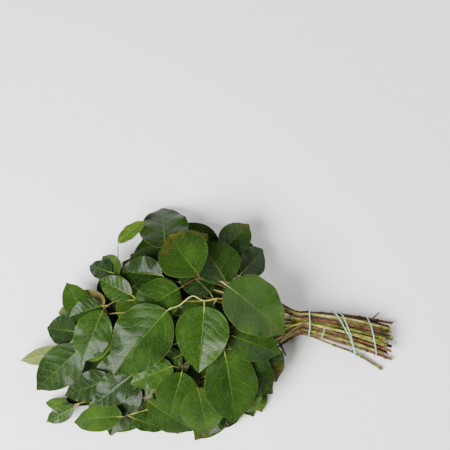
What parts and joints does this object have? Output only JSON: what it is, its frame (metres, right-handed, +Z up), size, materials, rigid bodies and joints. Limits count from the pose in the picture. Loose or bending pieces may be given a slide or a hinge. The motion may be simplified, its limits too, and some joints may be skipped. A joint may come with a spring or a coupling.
{
  "type": "tied bunch of salal branches",
  "caption": "Cut salal foliage: leafy evergreen branches fanned over one another in a low heap, with bare stems gathered and tied in a bundle, lying on a table.",
  "frame": {"origin": "on the table under the middle of the bunch's box", "axes": "+X along the bunch from the leafy head to the cut stem ends, +Z up from the table, +Y across the bunch"},
  "size_m": [0.4535, 0.2843, 0.11],
  "materials": {
    "foliage": "glossy green leaf on a woody stem",
    "string": "matte thin string"
  },
  "bodies": {
    "root": {"branch_01": "foliage", "branch_02": "foliage", "branch_03": "foliage", "branch_04": "foliage", "branch_05": "foliage", "branch_06": "foliage", "branch_07": "foliage", "branch_08": "foliage", "branch_09": "foliage", "branch_10": "foliage", "branch_11": "foliage", "branch_12": "foliage", "branch_13": "foliage", "branch_14": "foliage", "branch_15": "foliage", "branch_16": "foliage", "branch_17": "foliage", "branch_18": "foliage", "branch_19": "foliage", "branch_20": "foliage", "branch_21": "foliage", "branch_22": "foliage", "branch_23": "foliage", "branch_24": "foliage", "branch_25": "foliage", "branch_26": "foliage", "branch_27": "foliage", "branch_28": "foliage", "branch_29": "foliage", "branch_30": "foliage", "branch_31": "foliage", "branch_32": "foliage", "branch_33": "foliage", "branch_34": "foliage", "tie_end": "string", "tie_head": "string", "tie_middle": "string"}
  },
  "joints": []
}
